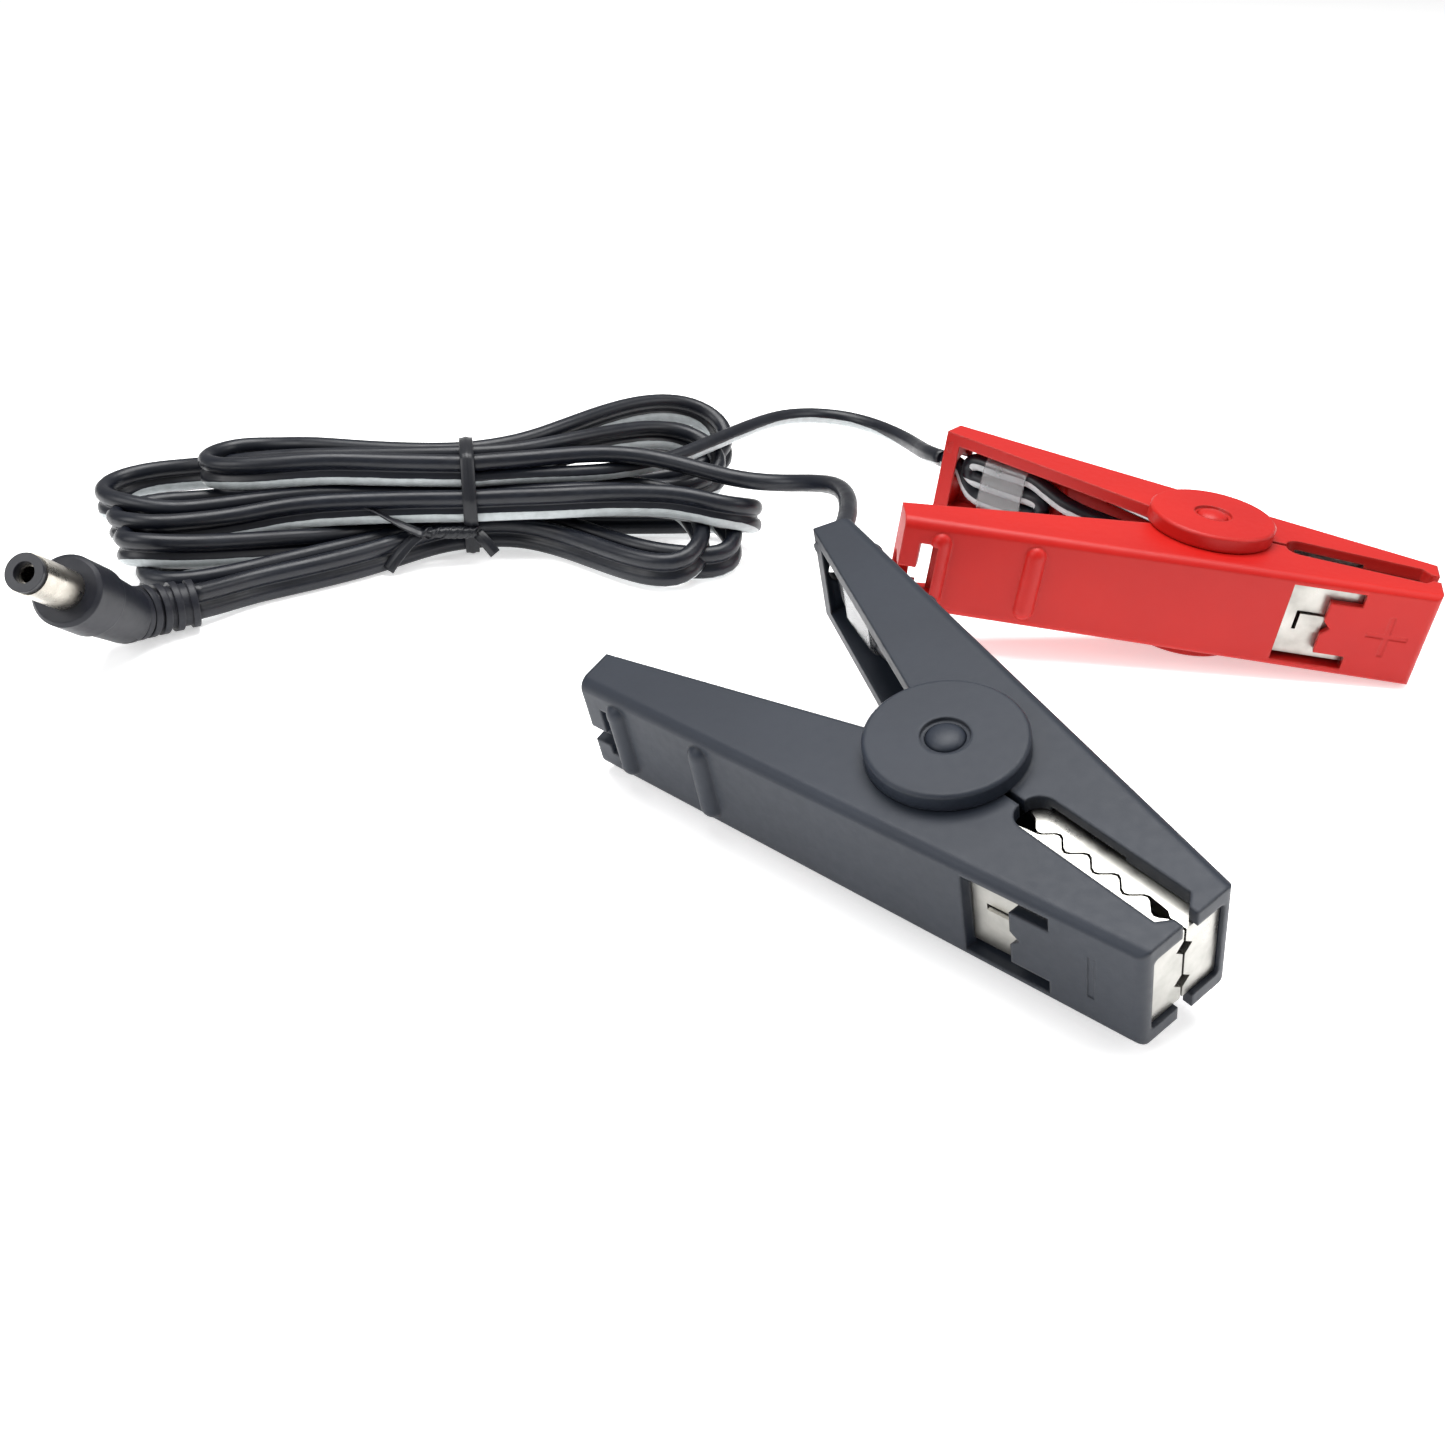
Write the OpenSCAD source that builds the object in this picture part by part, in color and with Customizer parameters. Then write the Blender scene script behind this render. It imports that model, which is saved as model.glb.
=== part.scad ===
// Battery clip lead: two sprung clips on a figure-8 flex with a barrel plug.
// Millimetres, +Z up. The lead lies on z = 0, with the origin under the middle of the two clips.
// In a clip's own frame Z is the pivot, +X points to the jaw tip and the cable arm is on the +Y side.

/* [Clip] */
// Length of the handles, from the pivot to the end wall
handle_len = 40.8; // [36:0.2:46]
// Length of the jaws, from the pivot to the tip
jaw_len = 30.6; // [28:0.2:33]
// Height of the arm channels along the pivot
channel_h = 14; // [12.5:0.5:16]
// Half width over both arms at the tip
tip_half_w = 6.2; // [5.6:0.1:7]
// Half width over both arms at the handle ends
handle_half_w = 21.2; // [19:0.2:24]
// Half of the gap between the handles at their ends
handle_half_gap = 16.1; // [14:0.1:17]
// Thickness of the outer walls
wall = 1.5; // [1.2:0.1:1.8]
// Thickness of the top and bottom flanges
flange = 1.8; // [1.4:0.1:2]
// Radius of the pivot discs
disc_r = 8.6; // [8:0.1:9.2]
// Thickness of a pivot disc above its flange
disc_t = 2.1; // [1.6:0.1:2.6]
// Radius of the pivot pin
pin_r = 2.1; // [1.8:0.1:2.3]

/* [Jaw and spring] */
// Thickness of the jaw sheet
sheet = 0.7; // [0.5:0.1:0.8]
// Distance from tooth to tooth
tooth_pitch = 3.55; // [3.2:0.05:3.9]
// Diameter of the spring wire
spring_wire = 1; // [0.8:0.1:1.1]
// Mean radius of the spring coil
spring_r = 3.4; // [3.2:0.1:3.8]

/* [Flex and plug] */
// Diameter of one strand of the flex
strand = 2.7; // [2.5:0.1:2.8]
// Outer diameter of the plug barrel
barrel_d = 5.5; // [5.5:0.1:5.6]
// Bore of the plug's inner contact
contact_bore = 2.2; // [2.1:0.05:2.6]
// Length of barrel that stands out of the body
barrel_len = 9.4; // [9:0.1:10.4]
// Diameter of the moulded plug body
plug_d = 9.8; // [9:0.1:10.5]

/* [Hidden] */
$fn = 96;
TINY = 0.01;
 OLD = [
    "black_cable_arm", "black_lever_arm", "black_cable_jaw", "black_lever_jaw", "black_pivot_pin",
    "black_torsion_spring", "black_wire_sleeve", "black_wire_end", "black_solder_joint",
    "red_cable_arm", "red_lever_arm", "red_cable_jaw", "red_lever_jaw", "red_pivot_pin",
    "red_torsion_spring", "red_wire_sleeve", "red_wire_end", "red_solder_joint",
    "plug_body", "plug_barrel", "plug_insulator", "plug_contact", "plug_terminals",
    "flex_tail", "flex_hank", "twist_tie", "black_lead", "red_lead"];

// Colours
black_plastic = [0.16, 0.17, 0.19];
red_plastic = [0.80, 0.12, 0.09];
nickel = [0.72, 0.71, 0.68];
spring_steel = [0.45, 0.45, 0.47];
flex_black = [0.09, 0.09, 0.11];
clear_sleeve = [0.80, 0.82, 0.84];

// Where the clips lie: the stiff leads hold the black one up on the edge of its lever arm, and the
// red one up on its tips
black_at = [-17.7, -32.1, 11.2];
black_turn = [16, 2.7, -54.6];
red_at = [27.3, 27.6, 9.95];
red_turn = [-0.5, 5, -20.4];

// The arm in plan: its outer edge runs straight from the handle end to the tip
end_lean = 1.7;                        // the end wall is square to the arm, so it leans
end_wall = 2.4;
taper = (handle_half_w - tip_half_w) / (handle_len - end_lean + jaw_len);
arm_angle = atan(taper);
function outer_y(x) = tip_half_w + taper * (jaw_len - x);
function inner_wall_y(x) = outer_y(x) - wall / cos(arm_angle);
neck_x = 10.5;
neck_gap = 0.4;
mouth_y = 2.4;
corner_r = 1.2;
edge_r = 1.5;
half_h = channel_h / 2;
in_h = half_h - flange;                // half height of the space inside an arm

// The pivot
lobe_r = 6;
lobe_gap = 0.3;
disc_gap = 0.15;
pin_play = 0.05;
disc_top = half_h + disc_gap + disc_t;

// The snap window in the outer wall and the tongue inside it
window_x = 12;
window_len = 9.3;
window_half = 5.7;
tongue_x = 17.2;
tongue_half = 3.8;

// The cable hole through the end wall, its slot to the outer side, and the notch beside it
hole_r = 2;
hole_z = 1.2;
slot_w = 2.2;
cable_y = (handle_half_gap + handle_half_w) / 2;
notch_len = 2.6;
notch_half = 3.6;

// The ribs on the outer wall
rib_r = 1.5;
rib_proud = 1;
rib_half = 4.1;
rib_places = [-34, -21.4];

// The jaw
jaw_gap = 0.1;
jaw_back = 9.2;
jaw_half = in_h - jaw_gap;
tooth_depth = 1.3;
tooth_mid = 0.15;
tooth_first = 13;
teeth = 4;
jaw_tip = jaw_len - 0.5;

function arc(c, r, a0, a1, n = 8) = [for (i = [0:n]) let (a = a0 + (a1 - a0) * i / n) c + r * [cos(a), sin(a)]];

// ---- sweeps ----

function unit(v) = v / norm(v);
function smooth_point(p, i, t) =
    let (n = len(p) - 1, a = p[max(i - 1, 0)], b = p[i], c = p[min(i + 1, n)], d = p[min(i + 2, n)])
    0.5 * (2 * b + (c - a) * t + (2 * a - 5 * b + 4 * c - d) * t * t + (3 * b - a - 3 * c + d) * t * t * t);
function smooth_path(p, steps) =
    [for (i = [0:len(p) - 2], k = [0:steps - 1]) smooth_point(p, i, k / steps), p[len(p) - 1]];
function tangent(p, i) = unit(p[min(i + 1, len(p) - 1)] - p[max(i - 1, 0)]);

// Tube along p: half_w to each side and half_t up and down, on the given number of sides.
// ref is a direction that the tube never runs along.
module tube(p, half_w, half_t, sides = 8, ref = undef) {
    n = len(p);
    rings = [for (i = [0:n - 1])
        let (t = tangent(p, i), away = is_undef(ref) ? (abs(t[2]) > 0.9 ? [1, 0, 0] : [0, 0, 1]) : ref,
             s = unit(cross(t, away)), u = cross(s, t))
        for (k = [0:sides - 1])
            let (a = 360 * (k + 0.5) / sides) p[i] + s * half_w * cos(a) + u * half_t * sin(a)];
    sidewalls = [for (i = [0:n - 2], k = [0:sides - 1])
        let (j = (k + 1) % sides) [i * sides + k, i * sides + j, (i + 1) * sides + j, (i + 1) * sides + k]];
    first = [for (k = [0:sides - 1]) sides - 1 - k];
    last = [for (k = [0:sides - 1]) (n - 1) * sides + k];
    polyhedron(points = rings, faces = concat([first], sidewalls, [last]), convexity = 8);
}

// ---- clip placement ----

module on_black() { translate(black_at) rotate(black_turn) children(); }
module on_red() { translate(red_at) rotate(red_turn) children(); }
module lever_side() { rotate([180, 0, 0]) children(); }

// ---- the arm ----

// Points of an arm's flange, seen along the pivot
function arm_plan() = concat(
    [[-handle_len, handle_half_gap], [0, 0], [0, neck_gap], [neck_x, neck_gap]],
    arc([neck_x + 2, neck_gap], mouth_y - neck_gap, 180, 90),
    [[jaw_len - 2, mouth_y], [jaw_len - 1, 1], [jaw_len, 1]],
    arc([jaw_len - corner_r, outer_y(jaw_len) - corner_r], corner_r, 0, 90 - arm_angle),
    [[-handle_len + end_lean, outer_y(-handle_len + end_lean)]]);

// A long bar under the outer edge, with the two long corners rounded
module arm_bar(inset, half, round_r) {
    w = 30;
    l = 100;
    translate([jaw_len, outer_y(jaw_len)]) rotate([0, 0, 180 - arm_angle]) translate([-l / 4, inset, 0])
        rotate([90, 0, 90]) linear_extrude(l) union() {
            translate([round_r, -half]) square([w - round_r, 2 * half]);
            translate([0, -half + round_r]) square([w, 2 * (half - round_r)]);
            for (s = [-1, 1]) translate([round_r, s * (half - round_r)]) circle(round_r);
        }
}

module plan_slab(z0, z1) { translate([0, 0, z0]) linear_extrude(z1 - z0) polygon(arm_plan()); }

module arm_hollow() {
    intersection() {
        arm_bar(wall, in_h, 0.6);
        translate([0, 0, -in_h]) linear_extrude(2 * in_h) polygon([
            [-handle_len + end_wall, -1], [jaw_len + 10, -1], [jaw_len + 10, 30],
            [-handle_len + end_wall + 2 * end_lean, 2 * handle_half_w - handle_half_gap],
            [-handle_len + end_wall, handle_half_gap]]);
    }
}

module arm_rib(x) {
    translate([x, outer_y(x) - (rib_r - rib_proud), 0]) {
        cylinder(h = 2 * rib_half, r = rib_r, center = true);
        for (s = [-1, 1]) translate([0, 0, s * rib_half]) sphere(rib_r);
    }
}

// Cuts in the outer wall: the jaw's snap window round its tongue, and the notch by the cable hole
module arm_windows() {
    difference() {
        translate([window_x, 0, -window_half]) cube([window_len, 20, 2 * window_half]);
        difference() {
            translate([tongue_x, 0, -tongue_half]) cube([window_len, 20, 2 * tongue_half]);
            translate([tongue_x, 10, 0]) rotate([90, 0, 0]) cylinder(h = 10, r = 1, $fn = 4, center = true);
        }
    }
}

module cable_gate() {
    start = -handle_len + end_lean / 2;
    translate([start - 2, cable_y, hole_z]) rotate([0, 90, -arm_angle]) cylinder(h = 6, r = hole_r);
    translate([start - 2, cable_y, hole_z - slot_w / 2]) cube([6, 12, slot_w]);
    translate([-handle_len + end_lean + end_wall - TINY, cable_y, -notch_half])
        cube([notch_len, 12, 2 * notch_half]);
}

module disc(z0, z1) {
    bevel = 0.3;
    translate([0, 0, z0]) rotate_extrude()
        polygon([[0, 0], [disc_r, 0], [disc_r, z1 - z0 - bevel], [disc_r - bevel, z1 - z0], [0, z1 - z0]]);
}

// The moulded arm: its own disc is on top, and the other arm's lobe lies under that disc
module arm_shell() {
    difference() {
        union() {
            difference() {
                intersection() {
                    plan_slab(-half_h, half_h);
                    arm_bar(0, half_h, edge_r);
                }
                arm_hollow();
                cylinder(h = half_h + 1, r = lobe_r + lobe_gap);
            }
            for (x = rib_places) arm_rib(x);
            translate([-handle_len + 1.2, handle_half_gap + 0.3, half_h - 2.4]) rotate([90, 0, 0])
                cylinder(h = 0.8, r = 0.9);
            difference() {
                intersection() {
                    plan_slab(half_h - flange, half_h + disc_gap + TINY);
                    cylinder(h = 20, r = disc_r);
                }
                cylinder(h = 20, r = lobe_r + lobe_gap);
            }
            disc(half_h + disc_gap, disc_top);
            translate([0, 0, -half_h - disc_gap / 3]) cylinder(h = flange + 0.35, r = lobe_r);
        }
        cylinder(h = 40, r = pin_r + pin_play, center = true);
        translate([0, 0, disc_top - 0.4]) difference() {
            cylinder(h = 1, r = pin_r + 0.5);
            translate([0, 0, -1]) cylinder(h = 3, r = pin_r + pin_play);
        }
        arm_windows();
        cable_gate();
    }
}

// Polarity bars sunk in the outer wall near the tip: one for minus, two crossed for plus
module polarity_mark(plus) {
    bar = 0.7;
    translate([25.6, outer_y(25.6), 0]) rotate([0, 0, -arm_angle]) {
        cube([bar, 0.6, 6], center = true);
        if (plus) cube([5.4, 0.6, bar], center = true);
    }
}

module arm(plus) {
    difference() {
        arm_shell();
        polarity_mark(plus);
    }
}

// ---- the jaw ----

// Wavy edge of a jaw flange: teeth reach past the centre line, and the other jaw's dip there
function tooth_edge(shift) = [for (i = [0:teeth * 8])
    let (x = tooth_first + shift + i * tooth_pitch / 8 - tooth_pitch / 2)
    [x, tooth_mid - tooth_depth / 2 * sin(360 * (i / 8 - 0.25))]];

function jaw_plan(shift) = concat(
    [[jaw_back, inner_wall_y(jaw_back) - jaw_gap], [jaw_back, 1.6]],
    tooth_edge(shift),
    [[jaw_tip - 2.4, 0.6], [jaw_tip - 1.8, 0.15], [jaw_tip, 0.15], [jaw_tip, inner_wall_y(jaw_tip) - jaw_gap]]);

module jaw_flange(z, shift) { translate([0, 0, z]) linear_extrude(sheet) polygon(jaw_plan(shift)); }

module jaw() {
    difference() {
        union() {
            jaw_flange(jaw_half - sheet, 0);
            jaw_flange(-jaw_half, tooth_pitch / 2);
            translate([0, 0, -jaw_half]) linear_extrude(2 * jaw_half) polygon([
                for (x = [jaw_back, jaw_tip]) [x, inner_wall_y(x) - jaw_gap],
                for (x = [jaw_tip, jaw_back]) [x, inner_wall_y(x) - jaw_gap - sheet]]);
            translate([jaw_tip - sheet, 0.15, -jaw_half])
                cube([sheet, inner_wall_y(jaw_tip) - jaw_gap - 0.15 - TINY, 2 * jaw_half]);
        }
        for (z = [-2.6, 2.4]) translate([jaw_tip, 0, z]) rotate([0, 90, 0])
            cylinder(h = 4, r = 1.1, $fn = 4, center = true);
        translate([13.6, 0, -1.4]) cube([3, 20, 2.8]);
    }
    // the punched tab, raised into the snap window in front of the tongue
    translate([13.9, inner_wall_y(13.9) - jaw_gap - sheet + 0.5, -1.2]) rotate([0, 0, -arm_angle])
        cube([3.2, sheet, 2.4]);
}

// ---- the pivot ----

module pivot_pin() {
    head = 0.5;
    pin_bottom = 0.1 - disc_top;
    rotate_extrude() polygon(concat(
        [[0, pin_bottom], [pin_r, pin_bottom], [pin_r, disc_top - head]],
        [for (i = [0:6]) [pin_r * cos(90 * i / 6), disc_top - head + (head + 0.3) * sin(90 * i / 6)]]));
}

// Torsion spring: close turns round the pin and a leg against each handle's outer wall
spring_turns = 6;
spring_half = 3.2;
leg_x = -19;
function leg_tip(s) = [leg_x, s * (inner_wall_y(leg_x) - spring_wire / 2 - 0.1), s * spring_half];
function leg_start() = atan2(leg_tip(1)[1], leg_tip(1)[0]) - acos(spring_r / norm([leg_tip(1)[0], leg_tip(1)[1]]));
module torsion_spring() {
    a0 = leg_start();
    sweep_angle = -(360 * (spring_turns - 1) + 2 * a0);
    steps = 16 * spring_turns;
    coil = [for (i = [0:steps])
        let (a = a0 + sweep_angle * i / steps, z = spring_half * (1 - 2 * i / steps))
        [spring_r * cos(a), spring_r * sin(a), z]];
    tube(concat([leg_tip(1)], coil, [leg_tip(-1)]), spring_wire / 2, spring_wire / 2, 6);
}

// ---- the wire inside the cable arm ----

// The wire folds back and forth in three passes through a clear sleeve, then runs to the jaw
sleeve_x0 = -33.5;
sleeve_x1 = -26.5;
pass_gap = strand + 0.15;
sleeve_wall = 0.45;
pass_slope = 0.3;
wire_y0 = cable_y - 1.6;
function pass_y(x) = wire_y0 - (x + 36) * pass_slope;
function pass(x, z) = [x, pass_y(x), z];
function fold(x, z, side) = [for (a = [-90:45:90]) pass(x + side * pass_gap / 2 * cos(a), z + pass_gap / 2 * sin(a))];
solder_x = 9.6;
jaw_face = inner_wall_y(solder_x + 2.4) - jaw_gap - sheet;
solder_y = jaw_face - 1.25;
module wire_end() {
    tube(concat(
        [[-handle_len - 0.2, cable_y + 0.2, hole_z], [-38, cable_y - 0.5, hole_z - 0.2],
         pass(-36, -1.4), pass(-34, -pass_gap), pass(-27, -pass_gap)],
        fold(-25, -pass_gap / 2, 1),
        [pass(-30, 0)],
        fold(-35, pass_gap / 2, -1),
        [pass(-30, pass_gap), pass(-26, pass_gap), [-20, 11.4, 1], [-12, 10, 0],
         [0, 8.2, -0.5], [solder_x - 4, solder_y, 0], [solder_x, solder_y, 0]]),
        strand / 2, strand / 2, ref = [0, 1, 0]);
}

module racetrack(half, rad) {
    square([2 * (half - rad), 2 * rad], center = true);
    for (s = [-1, 1]) translate([s * (half - rad), 0]) circle(rad, $fn = 48);
}

module wire_sleeve() {
    half = pass_gap + strand / 2 + 0.1;
    rad = strand / 2 + 0.12;
    mid = (sleeve_x0 + sleeve_x1) / 2;
    translate(pass(mid, 0)) rotate([0, 90, -atan(pass_slope)])
        translate([0, 0, -(sleeve_x1 - sleeve_x0) / 2]) linear_extrude(sleeve_x1 - sleeve_x0)
            difference() {
                racetrack(half + sleeve_wall, rad + sleeve_wall);
                racetrack(half, rad);
            }
}

// Bared end of the wire and the drop of solder that joins it to the jaw
module solder_joint() {
    translate([solder_x + TINY, solder_y, 0]) rotate([0, 90, 0]) cylinder(h = 2, r = 0.8, $fn = 32);
    translate([solder_x + 2.4, solder_y, 0]) sphere(1.3, $fn = 40);
}

// ---- the plug ----

// The plug stands on the back of its body, tipped up towards its barrel
plug_face = [-126.3, 7.1, 15];
plug_tip_up = 39;
plug_heading = -98.2;
body_len = 15.5;
collar_len = 6.5;
socket_depth = 6;
grip_r = plug_d / 2 - 0.35;
grip_end_r = grip_r - 0.5;
insulator_r = barrel_d / 2 - 0.4;
socket_r = barrel_d / 2 - 0.2;
module on_plug() { translate(plug_face) rotate([0, -plug_tip_up, plug_heading]) children(); }

// A rod along the plug's axis, from x0 to x1 in front of the face of the body
module plug_rod(x0, x1, r) { translate([x0, 0, 0]) rotate([0, 90, 0]) cylinder(h = x1 - x0, r = r); }

module barrel() {
    difference() {
        union() {
            plug_rod(TINY, barrel_len - 0.8, barrel_d / 2);
            plug_rod(-socket_depth, 1, socket_r);
            plug_rod(-socket_depth, -socket_depth + 1.2, barrel_d / 2 + 0.9);
        }
        plug_rod(-socket_depth - 1, barrel_len + 1, insulator_r + 0.02);
    }
}

module insulator() {
    difference() {
        union() {
            plug_rod(-socket_depth - 0.8, barrel_len - 0.8, insulator_r);
            plug_rod(barrel_len - 0.8, barrel_len, socket_r);
        }
        plug_rod(-socket_depth - 2, barrel_len + 1, contact_bore / 2 + 0.3);
    }
}

module contact() {
    difference() {
        plug_rod(-socket_depth - 2.2, barrel_len - 1.2, contact_bore / 2 + 0.28);
        plug_rod(-socket_depth, barrel_len, contact_bore / 2);
    }
}

// Solder tabs behind the contact and behind the barrel, inside the moulded body
module terminals() {
    translate([-socket_depth - 5.2, -0.8, -0.25]) cube([3, 1.6, 0.5]);
    translate([-socket_depth - 5.2, -0.8, 2.9]) cube([5.2, 1.6, 0.5]);
}

// Moulded body: a collar, a slimmer grip, and a pocket that holds the metal parts
module plug_shell() {
    difference() {
        union() {
            translate([-collar_len, 0, 0]) rotate([0, 90, 0]) rotate_extrude()
                polygon([[0, 0], [plug_d / 2, 0], [plug_d / 2, collar_len - 0.5],
                         [plug_d / 2 - 0.5, collar_len], [0, collar_len]]);
            translate([-body_len, 0, 0]) rotate([0, 90, 0])
                cylinder(h = body_len - collar_len + TINY, r1 = grip_end_r, r2 = grip_r);
        }
        plug_rod(-socket_depth - TINY, 1, socket_r + 0.02);
        plug_rod(-socket_depth - 5.3, -socket_depth + 1.2 + TINY, barrel_d / 2 + 0.95);
    }
}

// The ribbed strain relief bends from the plug's axis to the run of the flex along the table
plug_back = [cos(plug_tip_up) * cos(plug_heading), cos(plug_tip_up) * sin(plug_heading), sin(plug_tip_up)];
relief_from = plug_face - body_len * plug_back;
relief_mid = [-123.2, 23, 3.8];
relief_to = [-117.6, 26.2, 3.6];
relief_rings = 5;
function relief_point(t) = (1 - t) * (1 - t) * relief_from + 2 * t * (1 - t) * relief_mid + t * t * relief_to;
function relief_way(t) = unit(relief_point(t + 0.01) - relief_point(t - 0.01));
module facing(p, way) { translate(p) rotate([0, acos(way[2]), atan2(way[1], way[0])]) children(); }
module strain_relief() {
    for (i = [0:relief_rings])
        let (t = i / relief_rings)
        facing(relief_point(t), relief_way(t)) cylinder(h = 1, r = 4 - 0.5 * t, center = true, $fn = 48);
    for (i = [1:relief_rings])
        let (t = (i - 0.5) / relief_rings)
        facing(relief_point(t), relief_way(t)) cylinder(h = 1.8, r = 3.1, center = true, $fn = 40);
}

// ---- the flex ----

// The flex runs on its edge, one strand over the other, from the strain relief to the tied waist
tail_route = [relief_to, [-114.4, 29.7, 3.1], [-111.1, 33.4, 2.8], [-101.6, 39.9, 2.75], [-94.5, 45.6, 2.75],
              [-87.4, 51.4, 3.4]];

// The hank: folds of flex on each side of the waist, low ones in front and raised ones behind
waist_at = [-81, 56, 8.6];
waist_r = 8;
waist_half = 7.6;
waist_heading = 9;
left_low = [[-88, 52.4], [-104, 43.4], [-114, 36.4], [-122, 31.6], [-130, 31], [-135, 36], [-138.6, 44], [-139.4, 52],
            [-134, 57.6], [-126, 61.6], [-117, 63], [-100, 62.6], [-89, 62.4]];
left_high = [[-89, 55], [-104, 49], [-116, 45], [-129, 42.6], [-136, 44.6], [-138.6, 49], [-137.6, 54], [-131, 58],
             [-122, 61.4], [-112, 62], [-100, 61.4], [-90, 61]];
right_low = [[-73.6, 52], [-68.4, 50.4], [-63, 46.6], [-56, 41.2], [-48.6, 40], [-41.6, 43.8], [-35.8, 48.6],
             [-32, 57], [-32.2, 67], [-35, 77], [-42, 83], [-52, 84.6], [-61, 79], [-67, 70.6], [-74.2, 63]];
right_high = [[-73.4, 53], [-66, 51], [-56, 49], [-45, 47.8], [-37, 48.6], [-33.2, 52], [-33, 60], [-33.6, 69],
              [-37, 77], [-44, 82], [-53, 83], [-60, 77.6], [-66, 70], [-73.8, 62]];
function smooth_loop(p, steps) = [for (i = [0:len(p) - 1], k = [0:steps - 1])
    let (n = len(p), t = k / steps, a = p[(i + n - 1) % n], b = p[i], c = p[(i + 1) % n], d = p[(i + 2) % n])
    0.5 * (2 * b + (c - a) * t + (2 * a - 5 * b + 4 * c - d) * t * t + (3 * b - a - 3 * c + d) * t * t * t)];
module folds(outline, z1) { linear_extrude(z1) polygon(smooth_loop(outline, 2)); }
module at_waist() { translate(waist_at) rotate([0, 90, waist_heading]) children(); }
module hank() {
    at_waist() cylinder(h = 2 * waist_half + 2, r = waist_r, center = true);
    folds(left_low, 8);
    folds(left_high, 15.5);
    folds(right_low, 8);
    folds(right_high, 17);
}

// Twist tie: a flat wire strip round the waist, its ends twisted together in front and splayed
tie_w = 2.3;
tie_t = 0.6;
twist_from = [-79.5, 48.4, 4.6];
twist_to = [-87.5, 47.2, 5.6];
module tie_end(from, heading, drop, len) {
    translate(from) rotate([0, drop, heading]) translate([0, -tie_w / 2, -tie_t / 2]) cube([len, tie_w, tie_t]);
}
module tie() {
    at_waist() difference() {
        cylinder(h = tie_w, r = waist_r + tie_t, center = true);
        cylinder(h = tie_w + 1, r = waist_r + 0.02, center = true);
    }
    facing((twist_from + twist_to) / 2, unit(twist_to - twist_from))
        cylinder(h = norm(twist_to - twist_from) + 1, r = 1.1, center = true, $fn = 24);
    tie_end(twist_to, 178, -22, 12.5);
    tie_end(twist_to, -145, 38, 7);
    tie_end(twist_from, -30, 45, 4.5);
}

// The two strands part beside the tie and run out of the hank to the cable holes of the clips
black_route = [[-33.4, 50.6, 13.6], [-29.6, 49.2, 14.2], [-25.4, 45.4, 15.8], [-23.2, 40, 17.4],
               [-22.6, 33.6, 18.2], [-23.4, 26, 18.7], [-25.1, 18.4, 19.2], [-26.6, 11.3, 19.5]];
red_route = [[-35.2, 77.6, 13], [-31, 83.2, 12.6], [-26, 87.6, 12], [-20, 89.8, 11.2], [-14.6, 88.4, 10.8],
             [-10.4, 83.4, 10.9], [-7.8, 77.4, 11.4], [-6.6, 71.5, 12.2], [-6.2, 66.4, 13.3], [-6, 62.6, 14.2],
             [-4.2, 59.5, 14.6]];

// ---- nodes ----

module black_cable_arm() { color(black_plastic) on_black() arm(false); }
module black_lever_arm() { color(black_plastic) on_black() lever_side() arm(false); }
module black_cable_jaw() { color(nickel) on_black() jaw(); }
module black_lever_jaw() { color(nickel) on_black() lever_side() jaw(); }
module black_pivot_pin() { color(black_plastic) on_black() pivot_pin(); }
module black_torsion_spring() { color(spring_steel) on_black() torsion_spring(); }
module black_wire_sleeve() { color(clear_sleeve) on_black() wire_sleeve(); }
module black_wire_end() { color(flex_black) on_black() wire_end(); }
module black_solder_joint() { color(nickel) on_black() solder_joint(); }
module red_cable_arm() { color(red_plastic) on_red() arm(true); }
module red_lever_arm() { color(red_plastic) on_red() lever_side() arm(true); }
module red_cable_jaw() { color(nickel) on_red() jaw(); }
module red_lever_jaw() { color(nickel) on_red() lever_side() jaw(); }
module red_pivot_pin() { color(red_plastic) on_red() pivot_pin(); }
module red_torsion_spring() { color(spring_steel) on_red() torsion_spring(); }
module red_wire_sleeve() { color(clear_sleeve) on_red() wire_sleeve(); }
module red_wire_end() { color(flex_black) on_red() wire_end(); }
module red_solder_joint() { color(nickel) on_red() solder_joint(); }
module plug_body() {
    color(flex_black) {
        on_plug() plug_shell();
        strain_relief();
    }
}
module plug_barrel() { color(nickel) on_plug() barrel(); }
module plug_insulator() { color(flex_black) on_plug() insulator(); }
module plug_contact() { color(nickel) on_plug() contact(); }
module plug_terminals() { color(nickel) on_plug() terminals(); }
module flex_tail() { color(flex_black) tube(smooth_path(tail_route, 2), strand / 2, strand); }
module flex_hank() { color(flex_black) hank(); }
module twist_tie() { color(black_plastic) tie(); }
module black_lead() { color(flex_black) tube(smooth_path(black_route, 2), strand / 2, strand / 2); }
module red_lead() { color(flex_black) tube(smooth_path(red_route, 2), strand / 2, strand / 2); }

black_cable_arm();
black_lever_arm();
black_cable_jaw();
black_lever_jaw();
black_pivot_pin();
black_torsion_spring();
black_wire_sleeve();
black_wire_end();
black_solder_joint();
red_cable_arm();
red_lever_arm();
red_cable_jaw();
red_lever_jaw();
red_pivot_pin();
red_torsion_spring();
red_wire_sleeve();
red_wire_end();
red_solder_joint();
plug_body();
plug_barrel();
plug_insulator();
plug_contact();
plug_terminals();
flex_tail();
flex_hank();
twist_tie();
black_lead();
red_lead();
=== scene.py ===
import math

import bmesh
import bpy
import numpy as np
from mathutils import Matrix, Vector


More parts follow.
